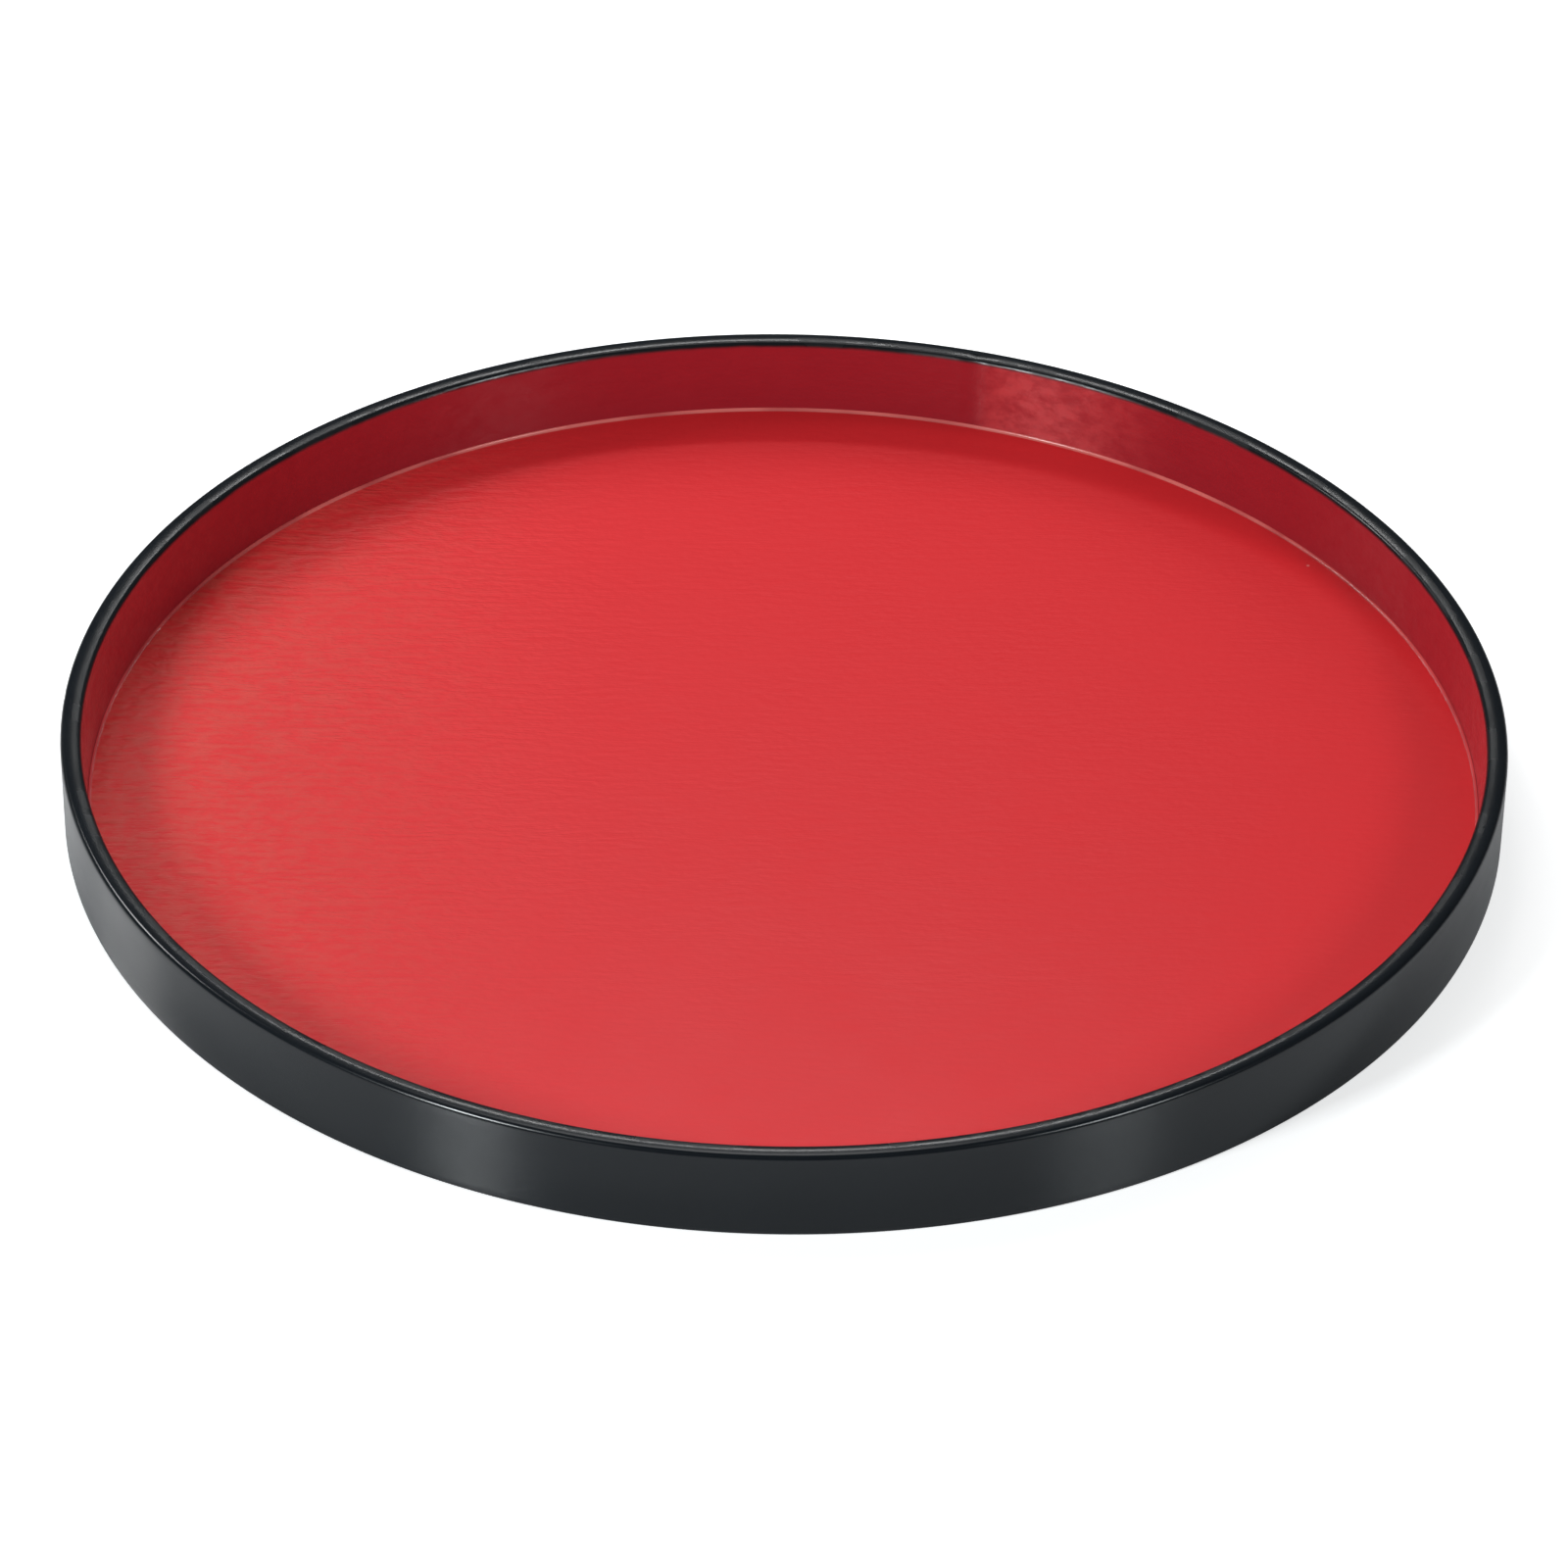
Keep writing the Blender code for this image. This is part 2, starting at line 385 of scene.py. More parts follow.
@dataclass(frozen=True)
class RedLacquer(Finish):
    """Satin vermilion lacquer on the inside of the hoop, cut in by hand against the black rim.

    Next to the joint, over a short stretch, it is paler and mottled: thin lacquer with a painted
    reflection of the lit floor on it.
    The two fades are turns from the joint in radians, anticlockwise as seen from above.
    """

    cut_height: float
    joint_angle: float
    name: str = "red_lacquer"
    # darker than the floor's red, as painted shade on the upright wall
    colour: Colour = (0.395, 0.018, 0.030)
    # paler red of thin lacquer and a painted reflection of the lit floor
    thin_and_reflection_colour: Colour = (0.65, 0.062, 0.070)
    black: Colour = (0.0085, 0.0105, 0.0125)
    roughness: float = 0.40
    specular: float = 0.35
    coat: float = 1.0
    coat_least: float = 0.4
    coat_roughness: float = 0.17
    cut_wander: float = 0.0006
    cut_fade: float = 0.0006
    cut_scale: float = 90.0
    cloud_scale: float = 45.0
    cloud_shades: Span = (0.93, 1.06)
    cloud_roughness: float = 0.12
    streak_scale: Scale = (60.0, 700.0, 1.0)
    streak_shade: float = 0.94
    streak_contrast: float = 0.5
    streak_roughness: float = 0.10
    streak_depth: float = 0.0001
    ripple_scale: float = 170.0
    ripple_depth: float = 0.00028
    joint_fade: Span = (-0.045, 0.004)
    far_fade: Span = (math.radians(-20.0), -0.12)
    patch_least: float = 0.35
    mottle_scale: float = 190.0
    mottle_stretch: Scale = (1.0, 1.0, 1.4)
    mottle_span: Span = (0.32, 0.66)
    black_gloss: float = 0.19
    dull_scale: float = 70.0
    dull_span: Span = (0.50, 0.60)
    dull_roughness: float = 0.14

    def cut(self, sheet: Sheet, place: Wire) -> Wire:
        """Where the wall is black: 1 above a line that wanders with a slow noise, 0 below it.

        Args:
            sheet: the material's nodes.
            place: the object's coordinates.

        Returns:
            The share of black.
        """
        level = sheet.stretched(place, (1.0, 1.0, 0.0))
        wander = sheet.noise(level, self.cut_scale, detail=3.0, rough=0.6) - 0.5
        height = sheet.part(place, Axis.Z) + wander * self.cut_wander
        return height.smooth_step(self.cut_height - self.cut_fade, self.cut_height + self.cut_fade)

    def thin_and_reflection_share(self, sheet: Sheet, place: Wire) -> Wire:
        """Where the lacquer is thin and a reflection is painted: 1 on the stretch next to the
        joint, 0 elsewhere.

        Args:
            sheet: the material's nodes.
            place: the object's coordinates.

        Returns:
            The share of thin lacquer and painted reflection.
        """
        bearing = sheet.bearing(place)
        joint = math.radians(self.joint_angle)
        beyond = 1.0 - bearing.smooth_step(joint + self.joint_fade[0], joint + self.joint_fade[1])
        near = bearing.smooth_step(joint + self.far_fade[0], joint + self.far_fade[1])
        return beyond * near

    def inputs(self, sheet: Sheet) -> Inputs:
        """Red below the cut line and black above it, with streaks that run along the hoop.

        Args:
            sheet: the material's nodes.

        Returns:
            The shader's inputs.
        """
        place = sheet.place()
        cut = self.cut(sheet, place)
        cloud = sheet.noise(place, self.cloud_scale, detail=3.0)
        along = sheet.stretched(sheet.around(), self.streak_scale)
        streaks = sheet.noise(along, 1.0, detail=4.0, rough=0.62)
        ripple = sheet.noise(place, self.ripple_scale, detail=3.0)
        blotches = sheet.stretched(place, self.mottle_stretch)
        mottle = sheet.noise(blotches, self.mottle_scale, detail=4.0, rough=0.6)
        mottle = mottle.smooth_step(*self.mottle_span)
        streaked = streaks.contrast(self.streak_contrast)
        red = sheet.shaded(cloud, self.colour, self.cloud_shades)
        red = sheet.blend(streaked, scaled(self.colour, self.streak_shade), red)
        # thin lacquer and painted reflection, mottled, on the stretch next to the joint
        thin_and_reflection = self.thin_and_reflection_share(sheet, place) * mottle.raised(self.patch_least)
        red = sheet.blend(thin_and_reflection, red, self.thin_and_reflection_colour)
        roughness = self.roughness + cloud.swing(self.cloud_roughness)
        roughness = roughness + streaks.swing(self.streak_roughness) - cut * self.black_gloss
        dull = sheet.noise(place, self.dull_scale).smooth_step(*self.dull_span)
        relief = streaks * self.streak_depth + ripple * self.ripple_depth
        return {
            "Base Color": sheet.blend(cut, red, self.black),
            "Roughness": roughness + cut * dull * self.dull_roughness,
            "Normal": sheet.bump(relief * (1.0 - cut), 1.0),
            "Specular IOR Level": self.specular,
            "Coat Weight": (1.0 - cut) * mottle.raised(self.coat_least) * self.coat,
            "Coat Roughness": self.coat_roughness,
        }


@dataclass(frozen=True)
class FloorLacquer(Finish):
    """Matt vermilion lacquer brushed across the floor in one direction.

    The brush marks are heavier towards -X, and there the high spots are paler: a painted sheen
    of the light on the floor. A nib of dust stands under the lacquer at one place.
    """

    name: str = "floor_lacquer"
    colour: Colour = (0.70, 0.025, 0.031)
    roughness: float = 0.36
    specular: float = 0.10
    coat: float = 0.03
    coat_roughness: float = 0.18
    wander_scale: float = 35.0
    wander_reach: float = 0.004
    mark_scale: Scale = (90.0, 560.0, 1.0)
    mark_shade: float = 0.985
    mark_contrast: float = 1.6
    mark_roughness: float = 0.14
    mark_depth: float = 0.00042
    dimple_scale: float = 260.0
    dimple_stretch: Scale = (1.0, 1.6, 1.0)
    dimple_depth: float = 0.00052
    cloud_scale: float = 22.0
    cloud_shades: Span = (0.965, 1.035)
    cloud_roughness: float = 0.10
    heavy_span: Span = (-0.15, -0.03)
    heavy_share: float = 0.85
    # painted sheen: the paler red of the floor's lit haze towards -X
    sheen_colour: Colour = (0.64, 0.072, 0.060)
    sheen_side_span: Span = (-0.175, -0.04)
    sheen_least: float = 0.25
    sheen_gain: float = 0.7
    sheen_span: Span = (0.40, 0.60)
    sheen_marks: float = 0.55
    sheen_dimples: float = 0.45
    nib: Place = (0.1353, 0.1045, 0.0035)
    nib_radius: float = 0.0006
    nib_colour: Colour = (0.80, 0.34, 0.30)

    def inputs(self, sheet: Sheet) -> Inputs:
        """Brush marks along X that wander a little, dimples between them, and slow clouds.

        Args:
            sheet: the material's nodes.

        Returns:
            The shader's inputs.
        """
        place = sheet.place()
        bent = sheet.bent(place, self.wander_scale, self.wander_reach)
        marks = sheet.noise(sheet.stretched(bent, self.mark_scale), 1.0, detail=3.0, rough=0.55)
        dimples = sheet.noise(sheet.stretched(bent, self.dimple_stretch), self.dimple_scale)
        cloud = sheet.noise(place, self.cloud_scale, detail=3.0)
        heavy = 1.0 - sheet.part(place, Axis.X).smooth_step(*self.heavy_span) * self.heavy_share
        relief = (marks - 0.5) * self.mark_depth + (dimples - 0.5) * self.dimple_depth
        patches = cloud.swing(self.cloud_roughness)
        return {
            "Base Color": self.tint(sheet, place, marks, dimples, cloud),
            "Roughness": self.roughness + marks.swing(self.mark_roughness) + patches,
            "Normal": sheet.bump(relief * heavy, 1.0),
            "Specular IOR Level": self.specular,
            "Coat Weight": self.coat,
            "Coat Roughness": self.coat_roughness,
        }

    def tint(self, sheet: Sheet, place: Wire, marks: Wire, dimples: Wire, cloud: Wire) -> Wire:
        """The colour: clouded, darker in the brush marks, paler towards -X, and the nib.

        Args:
            sheet: the material's nodes.
            place: the object's coordinates.
            marks: the brush marks.
            dimples: the dimples between them.
            cloud: the slow clouds.

        Returns:
            The colour.
        """
        clouded = sheet.shaded(cloud, self.colour, self.cloud_shades)
        brushed = marks.contrast(self.mark_contrast)
        tint = sheet.blend(brushed, scaled(self.colour, self.mark_shade), clouded)
        # painted sheen: paler towards -X, most on the high spots
        sheen_side = 1.0 - sheet.part(place, Axis.X).smooth_step(*self.sheen_side_span)
        spots = marks * self.sheen_marks + dimples * self.sheen_dimples
        painted_sheen = sheen_side * (self.sheen_least + self.sheen_gain * spots.smooth_step(*self.sheen_span))
        tint = sheet.blend(painted_sheen, tint, self.sheen_colour)
        away = sheet.distance(place, self.nib).smooth_step(0.0, self.nib_radius)
        return sheet.blend(away, self.nib_colour, tint)


@dataclass(frozen=True)
class FillerLacquer(Finish):
    """The filled corner under vermilion lacquer, a little glossier where the lacquer pooled.

    Its colour is lighter than the wall's red and paler towards +Y: a painted highlight on the seam.
    """

    name: str = "filler_lacquer"
    # lighter than the wall's red: painted highlight along the seam
    colour: Colour = (0.60, 0.062, 0.068)
    highlight_colour: Colour = (0.80, 0.19, 0.17)
    sheen_span: Span = (0.04, 0.15)
    roughness: float = 0.20
    lump_scale: float = 240.0
    lump_roughness: float = 0.16
    lump_depth: float = 0.00002
    cloud_scale: float = 40.0
    cloud_span: Span = (0.25, 0.6)
    cloud_shade: float = 0.75

    def inputs(self, sheet: Sheet) -> Inputs:
        """Lumps a few millimetres long where the filler was wiped.

        Args:
            sheet: the material's nodes.

        Returns:
            The shader's inputs.
        """
        place = sheet.place()
        lumps = sheet.noise(place, self.lump_scale, detail=3.0)
        cloud = sheet.noise(place, self.cloud_scale).smooth_step(*self.cloud_span)
        # painted highlight: paler towards +Y, the back of the bead
        back = sheet.part(place, Axis.Y).smooth_step(*self.sheen_span)
        painted_sheen = sheet.blend(back, self.colour, self.highlight_colour)
        return {
            "Base Color": sheet.blend(cloud, scaled(self.colour, self.cloud_shade), painted_sheen),
            "Roughness": self.roughness + lumps.swing(self.lump_roughness),
            "Normal": sheet.bump(lumps, self.lump_depth),
        }


@dataclass(frozen=True)
class UndersideLacquer(Finish):
    """Thin matt black lacquer under the board, with the veneer's grain open through it."""

    name: str = "underside_lacquer"
    colour: Colour = (0.014, 0.014, 0.015)
    roughness: float = 0.55
    pore_scale: Scale = (45.0, 1500.0, 1.0)
    pore_span: Span = (0.3, 0.6)
    pore_roughness: float = 0.2
    pore_depth: float = 0.00003
    scuff_scale: Scale = (300.0, 55.0, 1.0)
    scuff_span: Span = (0.60, 0.74)
    scuff_share: float = 0.5
    scuff_shade: float = 2.6
    scuff_gloss: float = 0.1

    def inputs(self, sheet: Sheet) -> Inputs:
        """Long pores along X, and scuffs from table tops.

        Args:
            sheet: the material's nodes.

        Returns:
            The shader's inputs.
        """
        place = sheet.place()
        pores = sheet.noise(sheet.stretched(place, self.pore_scale), 1.0, detail=3.0, rough=0.65)
        scuffs = sheet.noise(sheet.stretched(place, self.scuff_scale), 1.0, detail=4.0, rough=0.7)
        worn = scuffs.smooth_step(*self.scuff_span)
        scuffed = scaled(self.colour, self.scuff_shade)
        roughness = self.roughness + pores.swing(self.pore_roughness) - worn * self.scuff_gloss
        return {
            "Base Color": sheet.blend(worn * self.scuff_share, self.colour, scuffed),
            "Roughness": roughness,
            "Normal": sheet.bump(pores.smooth_step(*self.pore_span), self.pore_depth),
        }


@dataclass(frozen=True)
class CoreWood(Finish):
    """Bare plywood: plies on edge, and long grain on the faces."""

    name: str = "core_wood"
    light: Colour = (0.58, 0.41, 0.24)
    dark: Colour = (0.36, 0.22, 0.11)
    roughness: float = 0.68
    ply_thickness: float = 0.00053
    ply_shade: float = 1.2
    ply_share: float = 0.35
    bend_scale: float = 12.0
    bend_reach: float = 0.03
    ring_scale: Scale = (7.0, 260.0, 1.0)
    ring_span: Span = (0.35, 0.65)
    ring_roughness: float = 0.14
    ring_depth: float = 0.00004

    def inputs(self, sheet: Sheet) -> Inputs:
        """Growth lines along X, bent by a slow noise, and every second ply a little darker.

        Args:
            sheet: the material's nodes.

        Returns:
            The shader's inputs.
        """
        place = sheet.place()
        bent = sheet.bent(place, self.bend_scale, self.bend_reach)
        rings = sheet.noise(sheet.stretched(bent, self.ring_scale), 1.0, detail=4.0, rough=0.6)
        height = sheet.part(place, Axis.Z) / self.ply_thickness
        layer = (height.math("PINGPONG", height, 1.0) - 0.5).smooth_step(-0.1, 0.1)
        grain = sheet.blend(rings.smooth_step(*self.ring_span), self.dark, self.light)
        darker = scaled(self.dark, self.ply_shade)
        return {
            "Base Color": sheet.blend(layer * self.ply_share, grain, darker),
            "Roughness": self.roughness + rings * self.ring_roughness,
            "Normal": sheet.bump(rings, self.ring_depth),
        }


# ---------------------------------------------------------------- turned surfaces


def arc(centre: Sequence[float], radius: float, start: float, end: float, steps: int) -> np.ndarray:
    """Points centre + radius * (cos t, sin t) of a profile, for t from start to end degrees."""
    turn = np.radians(np.linspace(start, end, steps + 1))
    return np.stack([centre[0] + radius * np.cos(turn), centre[1] + radius * np.sin(turn)], 1)


def line(start: Sequence[float], end: Sequence[float], steps: int) -> np.ndarray:
    """Points start + t * (end - start) of a profile, for t from 0 to 1, without the last one."""
    share = np.linspace(0.0, 1.0, steps + 1)[:-1, None]
    return np.asarray(start) * (1.0 - share) + np.asarray(end) * share


def joined(*corners: tuple[np.ndarray, np.ndarray]) -> np.ndarray:
    """Faces from the (columns, rows) of each corner, as one array of pairs."""
    return np.stack([np.stack(corner, 1) for corner in corners], 1)


@dataclass
class Turning:
    """A profile turned about Z.

    The profile runs anticlockwise round the solid as seen with the axis on the left, so that
    the angle's direction crossed with the profile's points out of the solid.
    """

    profile: np.ndarray
    way: Way
    columns: int
    start_angle: float = 0.0

    def angles(self) -> np.ndarray:
        """The angle of each column."""
        return self.start_angle + np.linspace(0.0, 2.0 * math.pi, self.columns, endpoint=False)

    def surface(self) -> tuple[np.ndarray, np.ndarray, np.ndarray]:
        """The turned profile on a grid with a column for every angle.

        Returns:
            Radius, angle and height.
        """
        angle, radius = np.meshgrid(self.angles(), self.profile[:, 0], indexing="ij")
        height = np.broadcast_to(self.profile[:, 1], angle.shape).copy()
        return radius, angle, height

    def faces(self) -> tuple[np.ndarray, np.ndarray]:
        """Corners of the quads and of the triangles at the poles, as (column, row) pairs.

        A quad has the corners (c, r), (c+1, r), (c+1, r+1) and (c, r+1). Columns run on past the
        last one, so that the pattern coordinates do too.

        Returns:
            The quads and the triangles.
        """
        rows = len(self.profile)
        column = np.arange(self.columns)
        poles = self.way is Way.DISC
        row = np.arange(1, rows - 2) if poles else np.arange(rows)
        c, r = (grid.ravel() for grid in np.meshgrid(column, row, indexing="ij"))
        quads = joined((c, r), (c + 1, r), (c + 1, r + 1), (c, r + 1))
        if not poles:
            return quads, np.zeros((0, 3, 2), int)
        one, last = np.ones_like(column), np.full_like(column, rows - 1)
        bottom = joined((column, one - 1), (column + 1, one), (column, one))
        top = joined((column, last), (column, last - 1), (column + 1, last - 1))
        return quads, np.concatenate([bottom, top])

    def mesh(
        self, name: str, radius: np.ndarray, angle: np.ndarray, height: np.ndarray
    ) -> bpy.types.Mesh:
        """Makes the mesh.

        Args:
            name: the mesh's name.
            radius: radius on the grid.
            angle: angle on the grid.
            height: height on the grid.

        Returns:
            A closed mesh with the pattern coordinates as a UV map.
        """
        rows = len(self.profile)
        points = np.stack([radius * np.cos(angle), radius * np.sin(angle), height], -1)
        points = points.reshape(-1, 3)
        quads, triangles = self.faces()
        number = np.arange(self.columns * rows).reshape(self.columns, rows)
        if self.way is Way.DISC:
            number[:, 0] = number[0, 0]
            number[:, -1] = number[0, -1]
        used, compact = np.unique(number, return_inverse=True)
        compact = compact.reshape(self.columns, rows)
        corners = [
            compact[part[..., 0] % self.columns, part[..., 1] % rows] for part in (quads, triangles)
        ]
        made = bpy.data.meshes.new(name)
        made.from_pydata(points[used].tolist(), [], corners[0].tolist() + corners[1].tolist())
        self.add_coordinates(made, np.concatenate([quads.reshape(-1, 2), triangles.reshape(-1, 2)]))
        made.shade_smooth()
        made.set_sharp_from_angle(angle=SMOOTH_ANGLE)
        made.validate()
        return made

    def add_coordinates(self, made: bpy.types.Mesh, corners: np.ndarray) -> None:
        """Adds the UV map: u is the angle times the mean radius, v the length along the profile.

        Args:
            made: the mesh.
            corners: the column and row of each of its faces' corners, in order.
        """
        loop = np.concatenate([self.profile, self.profile[:1]])
        length = np.concatenate([[0.0], np.cumsum(np.linalg.norm(np.diff(loop, axis=0), axis=1))])
        mean = self.profile[:, 0].mean()
        u = corners[:, 0] * (2.0 * math.pi * mean / self.columns)
        v = length[corners[:, 1]]
        layer = made.uv_layers.new(name=AROUND)
        layer.uv.foreach_set("vector", np.stack([u, v], 1).astype(np.float32).ravel())


@dataclass(frozen=True)
class Piece:
    """A finished piece: its mesh, its finish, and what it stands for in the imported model."""

    name: str
    mesh: bpy.types.Mesh
    material: bpy.types.Material
    node: str
    slot: str

    def place(self) -> bpy.types.Object:
        """Puts the piece in the scene, riding on the tray's body.

        Returns:
            The piece's object.
        """
        self.mesh.materials.append(self.material)
        obj = bpy.data.objects.new(self.name, self.mesh)
        bpy.context.scene.collection.objects.link(obj)
        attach(obj, "root")
        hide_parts(self.node)
        return obj


# ---------------------------------------------------------------- sub-assemblies


@dataclass(frozen=True)
class TraySizes:
    """Sizes that the pieces share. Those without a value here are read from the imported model."""

    outer_radius: float
    height: float
    inner_ply_bottom: float
    floor_height: float
    floor_bottom: float
    core_top: float
    core_bottom: float
    backing_top: float
    backing_bottom: float
    rim_width: float = 0.0053
    outer_draft: float = 0.0006
    inner_draft: float = 0.0013
    corner_radius: float = 0.0007
    glue_line: float = 0.0003

    @classmethod
    def from_frame(cls) -> TraySizes:
        """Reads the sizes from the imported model's boxes.

        Returns:
            The sizes.
        """
        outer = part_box("outer_hoop_ply")[1]
        floor_low, floor_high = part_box("floor_veneer")
        core_low, core_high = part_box("base_core_board")
        backing_low, backing_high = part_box("backing_veneer")
        return cls(
            outer_radius=outer.x,
            height=outer.z,
            inner_ply_bottom=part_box("inner_hoop_ply")[0].z,
            floor_height=floor_high.z,
            floor_bottom=floor_low.z,
            core_top=core_high.z,
            core_bottom=core_low.z,
            backing_top=backing_high.z,
            backing_bottom=backing_low.z,
        )

    @property
    def inner_radius(self) -> float:
        """Radius of the wall's inside at the rim."""
        return self.outer_radius - self.rim_width

    @property
    def wall_foot_radius(self) -> float:
        """Radius of the wall's inside at the floor."""
        return self.inner_radius - self.inner_draft

    @property
    def joint_radius(self) -> float:
        """Radius of the joint between the two plies."""
        return self.outer_radius - self.rim_width / 2.0

    @property
    def board_radius(self) -> float:
        """Radius of the board's core and backing."""
        return self.joint_radius - self.glue_line / 2.0


@dataclass(frozen=True)
class ScarfMark:
    """The trace of a ply's overlapped ends under the lacquer: a shallow upright furrow."""

    angle: float  # round from +X, in degrees
    depth: float
    width: float

    def relief(self, angle: np.ndarray, radius: float) -> np.ndarray:
        """depth * exp(-(x / width)^2), for the distance x along the hoop from the mark."""
        away = np.mod(angle - math.radians(self.angle) + math.pi, 2.0 * math.pi) - math.pi
        return self.depth * np.exp(-((away * radius / self.width) ** 2))


@dataclass
class Hoop:
    """The wall: an outer and an inner bent ply, which share the rim."""

    sizes: TraySizes
    rim_rounding: float = 0.0013
    crown_radius: float = 0.0085
    foot_rounding: float = 0.0005
    red_drop: float = 0.0013  # the red begins this far below the top of the rim
    mark_drop: float = 0.0016  # and a mark's furrow across the rim fades this far below it
    columns: int = 512
    crown_steps: int = 16
    edge_steps: int = 14
    foot_steps: int = 6
    outside_steps: int = 14
    inside_steps: int = 18
    joint_steps: int = 8
    under_steps: int = 3
    outer_mark: ScarfMark = field(default_factory=lambda: ScarfMark(177.4, 0.00007, 0.0005))
    inner_mark: ScarfMark = field(default_factory=lambda: ScarfMark(74.0, 0.00022, 0.0009))

    def crown(self, side: float) -> np.ndarray:
        """Half the rim from the joint outwards, for side 1, or inwards, for side -1.

        The top is an arc of the crown radius about the axis of the rim. It runs smoothly into
        an arc of the rounding's radius, which ends upright on the wall's own radius.

        Args:
            side: 1 or -1.

        Returns:
            Points of the profile.
        """
        middle, top = self.sizes.joint_radius, self.sizes.height
        reach = self.sizes.rim_width / 2.0 - self.rim_rounding
        drop = math.sqrt((self.crown_radius - self.rim_rounding) ** 2 - reach**2)
        tilt = math.degrees(math.atan2(reach, drop))
        turn = 90.0 - tilt
        flat = arc((0.0, -self.crown_radius), self.crown_radius, 90.0, turn, self.crown_steps)
        edge_centre = (reach, drop - self.crown_radius)
        edge = arc(edge_centre, self.rim_rounding, turn, 0.0, self.edge_steps)
        half = np.concatenate([flat[:-1], edge])
        return np.stack([middle + side * half[:, 0], top + half[:, 1]], 1)

    def outer_profile(self) -> np.ndarray:
        """The outer ply: up the outside from the standing edge, over the rim, down the joint.

        Returns:
            Points of the profile.
        """
        sizes = self.sizes
        foot_radius = sizes.outer_radius - sizes.outer_draft
        foot_centre = (foot_radius - self.foot_rounding, self.foot_rounding)
        foot = arc(foot_centre, self.foot_rounding, -90.0, 0.0, self.foot_steps)
        rim = self.crown(1.0)[::-1]
        wall = line(foot[-1], rim[0], self.outside_steps)[1:]
        joint = line(rim[-1], (sizes.joint_radius, 0.0), self.joint_steps)[1:]
        under = line((sizes.joint_radius, 0.0), foot[0], self.under_steps)
        return np.concatenate([foot, wall, rim, joint, under])

    def inner_profile(self) -> np.ndarray:
        """The inner ply: up the joint from the board, over the rim and down the inside.

        Returns:
            Points of the profile.
        """
        sizes = self.sizes
        rim = self.crown(-1.0)
        toe = (sizes.wall_foot_radius, sizes.inner_ply_bottom)
        heel = (sizes.joint_radius, sizes.inner_ply_bottom)
        joint = line(heel, rim[0], self.joint_steps)
        wall = line(rim[-1], toe, self.inside_steps)[1:]
        under = line(toe, heel, self.under_steps)
        return np.concatenate([joint, rim, wall, under])

    def ply(self, name: str, profile: np.ndarray, mark: ScarfMark, side: float) -> bpy.types.Mesh:
        """Turns one ply, and sinks the mark in its face and across its rim.

        For the furrow's depth d, the radius moves by d * a^4 towards the joint, where a is the
        share of the way from the joint to the face. The height falls by d * b^2, where b goes
        from 0 to 1 over the last of the height.

        Args:
            name: the mesh's name.
            profile: the ply's profile.
            mark: the trace of its scarf joint.
            side: 1 for the outer ply and -1 for the inner one.

        Returns:
            The ply's mesh.
        """
        sizes = self.sizes
        turning = Turning(profile, Way.RING, self.columns, math.radians(mark.angle))
        radius, angle, height = turning.surface()
        furrow = mark.relief(angle, sizes.joint_radius)
        out = np.clip(side * (radius - sizes.joint_radius) / (sizes.rim_width / 2.0), 0.0, 1.0)
        up = np.clip((height - sizes.height + self.mark_drop) / self.mark_drop, 0.0, 1.0)
        return turning.mesh(name, radius - side * furrow * out**4, angle, height - furrow * up**2)

    def build(self) -> list[Piece]:
        """Makes both plies.

        Returns:
            The outer ply and the inner one.
        """
        outer = self.ply("outer_ply", self.outer_profile(), self.outer_mark, 1.0)
        inner = self.ply("inner_ply", self.inner_profile(), self.inner_mark, -1.0)
        red = RedLacquer(self.sizes.height - self.red_drop, self.inner_mark.angle)
        return [
            Piece("outer_ply", outer, BlackLacquer().material(), "outer_hoop_ply", "black_lacquer"),
            Piece("inner_ply", inner, red.material(), "inner_hoop_ply", "red_lacquer"),
        ]


@dataclass
class CornerBead:
    """The bead of filler in the corner between the wall and the floor."""

    sizes: TraySizes
    columns: int = 480
    hollow_steps: int = 20
    flat_steps: int = 4

    def profile(self) -> np.ndarray:
        """A hollow quarter round from the wall down to the floor, with a flat bottom and back.

        Returns:
            Points of the profile.
        """
        sizes = self.sizes
        radius = sizes.corner_radius
        centre = (sizes.wall_foot_radius - radius, sizes.floor_height + radius)
        hollow = arc(centre, radius, 0.0, -90.0, self.hollow_steps)
        toe = (centre[0], sizes.floor_bottom)
        heel = (sizes.wall_foot_radius, sizes.floor_bottom)
        bottom = line(toe, heel, self.flat_steps)
        return np.concatenate([hollow, bottom, line(heel, hollow[0], self.flat_steps)])

    def build(self) -> list[Piece]:
        """Makes the bead.

        Returns:
            The bead alone.
        """
        turning = Turning(self.profile(), Way.RING, self.columns)
        mesh = turning.mesh("corner_bead", *turning.surface())
        finish = FillerLacquer().material()
        return [Piece("corner_bead", mesh, finish, "corner_filler_bead", "filler_lacquer")]


